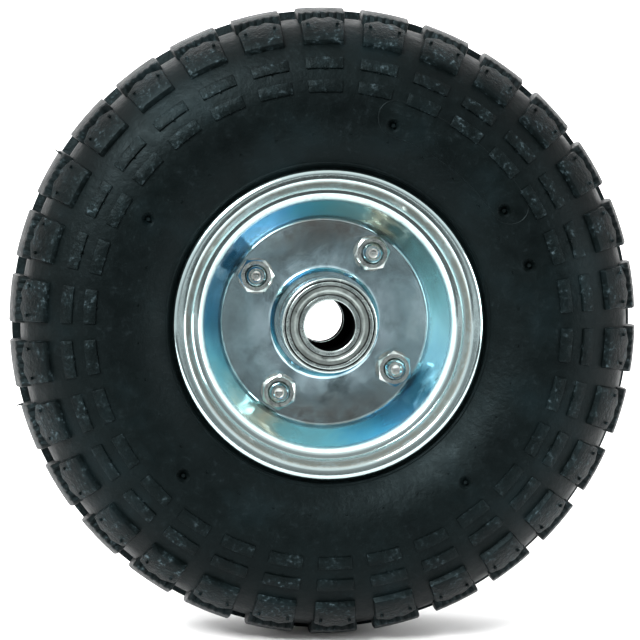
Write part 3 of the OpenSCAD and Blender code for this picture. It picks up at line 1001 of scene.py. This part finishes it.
inner_ring = [(BORE_R, HUB_S), (RACE_IN, HUB_S)] + track(RACE_IN, 1, -1) + \
    [(RACE_IN, seat_s), (BORE_R, seat_s)]
outer_ring = [(BEARING_R, HUB_S), (RACE_OUT, HUB_S)] + track(RACE_OUT, 1, 1) + \
    [(RACE_OUT, seat_s), (BEARING_R, seat_s)]
LAST = len(inner_ring) - 1
EDGES = [(0, 0.6), (1, 0.3), (LAST - 1, 0.3), (LAST, 0.6)]
for side, flip in (("front", False), ("back", True)):
    for name, ring in (("inner", inner_ring), ("outer", outer_ring)):
        # the faces round the bore get the black bore material, as painted shade
        bm = turned(ring, EDGES, steps=112)
        piece(f"bearing_{name}_ring_{side}", flipped(bm) if flip else bm, f"{name}_race_{side}",
              race_steel, inside=(painted_shade_bore, BORE_R + 0.05))

# %% Bearing shields
shield_face = HUB_S - 0.5
shield_section = [
    (RACE_IN + 0.15, shield_face - 0.65), (13.3, shield_face - 0.65), (14.1, shield_face - 0.35),
    (RACE_OUT, shield_face - 0.35), (RACE_OUT, shield_face), (14.1, shield_face),
    (13.3, shield_face - 0.3), (RACE_IN + 0.15, shield_face - 0.3)]
shields = bmesh.new()
one = turned(shield_section, [(5, 0.5), (6, 0.5)], steps=96)
to_back = Matrix.Scale(-1, 4, AXLE)
to_inner_face = Matrix.Translation((0, -2 * BALL_S * MM, 0)) @ to_back
for place in (Matrix.Identity(4), to_inner_face):
    join(shields, one, place)
    join(shields, one, to_back @ place)
piece("pressed_bearing_shields", shields, "bearing_shields", shield_steel)

# %% [markdown]
# A clamp bolt is an M8 screw and its nut is a hexagon. A plain hexagon has sharp corners, where a
# real one is turned off at its ends, so slanting planes slice the corners away.

# %% Hexagons
NUT_S = 4.0
NUT_H = 6.5
NUT_AF = 13.0
TURNED_CUTS = 24
TURNED_SLOPE = math.tan(math.radians(62))
FRONT_UP = Matrix.Rotation(math.radians(90), 4, "X")


def along(bm, s):
    """Turns a piece drawn round Z so that it stands along the axle, with its foot at s."""
    bmesh.ops.transform(bm, matrix=Matrix.Translation((0, -s * MM, 0)) @ FRONT_UP, verts=bm.verts[:])
    return bm


def hexagon(af, height, turned_ends):
    """Af is the width across flats. An end is 1 for the top and -1 for the foot."""
    bm = bmesh.new()
    bmesh.ops.create_cone(bm, cap_ends=True, segments=6, radius1=af / math.sqrt(3) * MM,
                          radius2=af / math.sqrt(3) * MM, depth=height * MM)
    bmesh.ops.translate(bm, verts=bm.verts[:], vec=(0, 0, height / 2 * MM))
    for end in turned_ends:
        z = height if end > 0 else 0.0
        for k in range(TURNED_CUTS):
            a = math.tau * k / TURNED_CUTS
            normal = Vector((math.cos(a), math.sin(a), end * TURNED_SLOPE)).normalized()
            point = Vector((math.cos(a) * af * 0.475, math.sin(a) * af * 0.475, z)) * MM
            cut = bmesh.ops.bisect_plane(bm, geom=everything(bm), dist=1e-7,
                                         plane_co=point, plane_no=normal, clear_outer=True)
            rim = [g for g in cut["geom_cut"] if isinstance(g, bmesh.types.BMEdge)]
            if rim:
                bmesh.ops.edgenet_fill(bm, edges=rim)
    outwards(bm)
    return bm


print("nut:", NUT_AF, "mm across flats")

# %% [markdown]
# The thread that stands out of the nut is cut for real. A helix needs many turns of fine faces, and
# a fine profile of rings reads as a thread at this size. The end has a rounded rim and a shallow
# hollow.

# %% Threaded screw
BOLT_R = 4.0
BOLT_END = NUT_S + NUT_H + 4.0
BOLT_TIP = 0.6
THREAD = 1.25
THREAD_DEPTH = 0.62


def threaded(r, start, end):
    """The section of a screw: plain up to start, then thread rings, then the end."""
    section = [(0.0, start - 6), (r, start - 6), (r, start)]
    s = start
    while s + THREAD < end - BOLT_TIP:
        section += [(r - THREAD_DEPTH, s + THREAD * 0.5), (r, s + THREAD)]
        s += THREAD
    section += [(r - 0.35, end - BOLT_TIP), (r - 0.8, end), (r - 1.5, end), (r - 2.0, end - 0.5),
                (r - 2.6, end - 0.7), (0.0, end - 0.75)]
    return section


def screw(section, steps=32):
    bm = bmesh.new()
    wire(bm, section, closed=False)
    spin_up(bm, steps)
    outwards(bm)
    return bm


shank = screw(threaded(BOLT_R, NUT_S, BOLT_END))
HOLLOW_R = 2.2
for face in shank.faces:
    middle = face.calc_center_median() / MM
    if middle.y < 0.7 - BOLT_END and math.hypot(middle.x, middle.z) < HOLLOW_R:
        face.material_index = 1
print("shank:", len(shank.faces), "faces")

# %% [markdown]
# Four bolts stand on a circle. An array about an empty would space them, but each nut stopped at
# its own angle when it was tightened, so the copies are turned one by one.

# %% Nuts and bolts on their circle
BOLT_RING = 34.5
BOLT_PHASE = 56.0
NUT_TURNS = (24, 30, 2, -3)


def around(parts, spread=0.0):
    """Four copies on the bolt circle, each turned by its own angle times the spread."""
    bm = bmesh.new()
    for k in range(4):
        a = math.radians(BOLT_PHASE + 90 * k)
        place = Matrix.Translation((BOLT_RING * MM * math.cos(a), 0, BOLT_RING * MM * math.sin(a)))
        own = Matrix.Rotation(math.radians(spread * NUT_TURNS[k]), 4, "Y")
        for part in parts:
            join(bm, part, place @ own)
    return bm


countersink = peg(3.4, 5.0, 1.6, 32)
bmesh.ops.translate(countersink, verts=countersink.verts[:], vec=(0, 0, (NUT_H - 0.5) * MM))
nut = along(cut_away(hexagon(NUT_AF, NUT_H, (1, -1)), countersink), NUT_S)
head = along(hexagon(NUT_AF, 5.3, (-1,)), -SHEET - 5.3)
piece("hex_nuts", around([nut], 1.0), "clamp_nuts", bolt_zinc, crease=25)
piece("hex_bolts", around([head, shank], 1.0), "clamp_bolts", bolt_zinc, crease=25, extra=bolt_end)

# %% [markdown]
# A spring washer is a square ring split at one place. A slot could be cut, but a spin that stops
# short of a full turn leaves the gap by itself, with both ends closed.

# %% Spring washers
spring = bmesh.new()
wire(spring, [(BOLT_R + 0.1, SHEET), (7.4, SHEET), (7.4, NUT_S), (BOLT_R + 0.1, NUT_S)])
spring.faces.new(spring.verts[:])
bmesh.ops.spin(spring, geom=everything(spring), cent=(0, 0, 0),
               axis=AXLE, dvec=(0, 0, 0), angle=math.radians(344), steps=36, use_merge=False)
bmesh.ops.remove_doubles(spring, verts=spring.verts[:], dist=1e-7)
outwards(spring)
bmesh.ops.rotate(spring, cent=(0, 0, 0), matrix=Matrix.Rotation(math.radians(130), 3, "Y"),
                 verts=spring.verts[:])
piece("split_spring_washers", around([spring]), "spring_washers", bolt_zinc)

# %% [markdown]
# What stays from the solids: the hidden inner pieces and the valve. Remaking them would show little,
# so each gets its own material in the slots it already has.

# %% Materials for the kept solids
# the spacer tube gets the black bore material, as painted shade inside the hub
KEPT = {
    "spacer_tube": painted_shade_bore, "bead_wires": dark_steel, "inner_tube": soft_rubber,
    "balls_front": ball_steel, "balls_back": ball_steel, "cage_front": cage_steel,
    "cage_back": cage_steel, "valve_base": soft_rubber, "valve_stem": brass,
    "valve_washer": bolt_zinc, "valve_nut": brass, "valve_core": brass, "valve_pin": brass,
    "valve_cap": cap_plastic}
for name, material in KEPT.items():
    mesh = nodes[name].data
    for slot in range(len(mesh.materials)):
        mesh.materials[slot] = material
print("kept solids:", len(KEPT))

# %% [markdown]
# The wheel stands on a pale floor that curves up behind it, as a roll of paper does in a studio. A
# plane would do for the floor alone, but its far edge would show as a line.

# %% Stage
def make_matt(name, hex_colour):
    """A plain matt finish, for paper and card."""
    material, tree = blank(name)
    shader = add(tree, "BsdfPrincipled", Base_Color=linear(hex_colour), Roughness=0.9)
    add(tree, "OutputMaterial", shader, out=None)
    return material


sweep = bmesh.new()
FLOOR_Z = -TYRE_R * MM
for y, z in ((-3.0, 0.0), (0.9, 0.0), (2.6, 1.7), (2.6, 5.0)):
    sweep.verts.new((0, y, FLOOR_Z + z))
sweep.verts.ensure_lookup_table()
for a, b in zip(sweep.verts[:], sweep.verts[1:]):
    sweep.edges.new((a, b))
bmesh.ops.bevel(sweep, geom=[sweep.verts[1], sweep.verts[2]], offset=0.75, offset_type="OFFSET",
                segments=12, profile=0.5, affect="VERTICES", clamp_overlap=False, material=-1)
wide = bmesh.ops.extrude_edge_only(sweep, edges=sweep.edges[:])
far_side = [g for g in wide["geom"] if isinstance(g, bmesh.types.BMVert)]
bmesh.ops.translate(sweep, verts=far_side, vec=(8, 0, 0))
bmesh.ops.translate(sweep, verts=sweep.verts[:], vec=(-4, 0, 0))
outwards(sweep)
paper = placed("paper_sweep", sweep)
paper.data.polygons.foreach_set("use_smooth", [True] * len(paper.data.polygons))
paper.data.materials.append(make_matt("pale_paper_sweep", "#f4f4f4"))
paper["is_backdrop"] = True
print("floor at", round(FLOOR_Z / MM, 1), "mm")

# %% [markdown]
# A mirror-like disc shows the floor in front of it. A black card laid there keeps polished metal
# from going white. A darker floor would do that too, but it would look grey from every side. The
# card is seen by reflections only, so the floor stays plain and gets no shadow.

# %% Black card
card = bmesh.new()
bmesh.ops.create_grid(card, x_segments=1, y_segments=1, size=0.5)
bmesh.ops.scale(card, vec=(2.4, 1.3, 1), verts=card.verts[:])
bmesh.ops.translate(card, verts=card.verts[:], vec=(0, -1.05, FLOOR_Z + 2 * MM))
black_card = placed("black_card", card)
black_card.data.materials.append(make_matt("black_card", "#1c1c1c"))
black_card.visible_camera = False
black_card.visible_diffuse = False
black_card.visible_shadow = False
black_card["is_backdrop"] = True
print("card:", len(black_card.data.polygons), "face")

# %% [markdown]
# The room is a soft white all round, but dim straight in front of the wheel, as it is where a
# camera stands in a real studio: the flat disc mirrors that part, so it comes out darker than the
# bent sheet. A key light at the upper left and a fill at the right make the long highlights, where
# small lamps would show in the metal as spots.

# %% Lights
world = bpy.data.worlds.new("soft_room")
world.use_nodes = True
room = world.node_tree
room.nodes.clear()
towards = add(room, "TexCoord", out="Generated")
dim_spot = Vector((0.10, -1.0, -0.22)).normalized()
off_spot = add(room, "VectorMath", towards, dim_spot, operation="DOT_PRODUCT", out="Value")
glow = add(room, "MapRange", off_spot, 0.992, 0.76, 0.24, 1.05)
upwards = add(room, "SeparateXYZ", towards, out="Z")
from_above = add(room, "MapRange", upwards, -0.8, 0.8, 0.45, 1.25)
glow = add(room, "Math", glow, from_above, operation="MULTIPLY")
backdrop = add(room, "Background", (1.0, 1.0, 1.0, 1.0), glow)
add(room, "OutputWorld", backdrop, out=None)
scene.world = world


def soft_box(name, at, size, power, aim=(0, 0, 0)):
    light = bpy.data.lights.new(name, "AREA")
    light.shape = "RECTANGLE"
    light.size, light.size_y = size
    light.energy = power
    obj = bpy.data.objects.new(name, light)
    scene.collection.objects.link(obj)
    obj.location = at
    obj.rotation_euler = (Vector(aim) - Vector(at)).to_track_quat("-Z", "Y").to_euler()
    print(name, power, "W")


soft_box("key_upper_left", (-0.66, -0.92, 0.84), (0.6, 0.45), 34)
soft_box("fill_right", (1.0, -0.6, -0.05), (0.35, 0.9), 9)
soft_box("back_wash", (0.0, 1.2, 1.6), (2.5, 1.2), 60, aim=(0, 2.2, 0.2))

# %% [markdown]
# The camera stands a little to the left and just above the axle, close enough for the near side of
# the bore to hide part of the far side. Aiming off the middle would frame the wheel too, but a
# small shift does it and leaves the direction of view as it is.

# %% Camera
cam_data = bpy.data.cameras.new("camera")
cam_data.sensor_width = 36
cam_data.lens = 83.2
cam_data.clip_start = 0.01
FRAME = 640
cam_data.shift_x = -4.2 / FRAME
cam_data.shift_y = 1.6 / FRAME
cam = bpy.data.objects.new("camera", cam_data)
scene.collection.objects.link(cam)
azimuth, elevation, distance = math.radians(-3.4), math.radians(2.5), 0.620
cam.location = (distance * math.sin(azimuth) * math.cos(elevation),
                -distance * math.cos(azimuth) * math.cos(elevation), distance * math.sin(elevation))
cam.rotation_euler = (-cam.location).to_track_quat("-Z", "Y").to_euler()
scene.camera = cam
scene.view_settings.view_transform = "Standard"
print("camera at", [round(c, 3) for c in cam.location])

# %% [markdown]
# Last, the size of the looks is set beside the size of the solids: the looks must stay inside.

# %% Measure and finish
sizes = {"cad": [list(v) for v in cad_box], "visual": [list(v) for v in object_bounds()]}
for name, (low, high) in sizes.items():
    print(name, [round((b - a) / MM, 2) for a, b in zip(low, high)], "mm")
